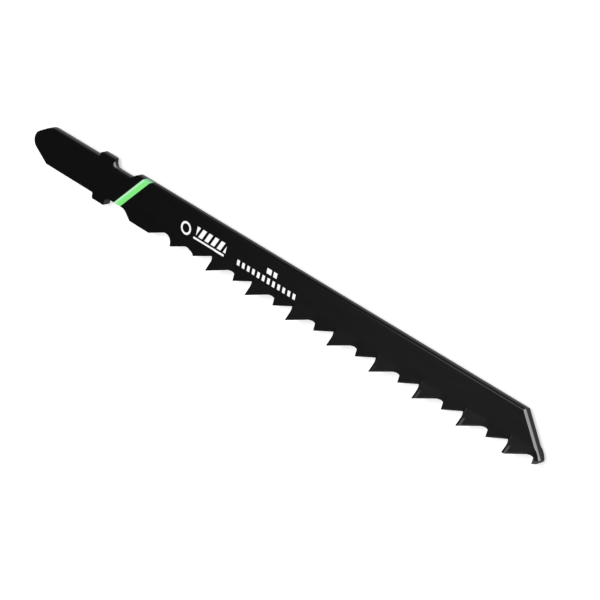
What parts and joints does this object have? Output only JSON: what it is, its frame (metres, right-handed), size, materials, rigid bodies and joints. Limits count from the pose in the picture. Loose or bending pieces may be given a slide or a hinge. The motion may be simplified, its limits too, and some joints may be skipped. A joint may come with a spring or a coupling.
{
  "type": "jigsaw blade",
  "caption": "T-shank jigsaw blade for coarse, fast cuts in wood: a blackened steel sheet with alternately set teeth that hook towards the shank and a sloping toe.",
  "frame": {"origin": "middle of the blade's box, in the sheet's middle plane and on the shank's axis", "axes": "+X along the blade from the shank to the toe, +Y from the teeth to the back, +Z through the sheet, out of the face that carries the band"},
  "size_m": [0.1, 0.0074, 0.003],
  "materials": {
    "blackened_steel": "blackened high-carbon steel, satin, with a painted green band at the neck"
  },
  "bodies": {
    "root": {"blade": "blackened_steel"}
  },
  "joints": []
}
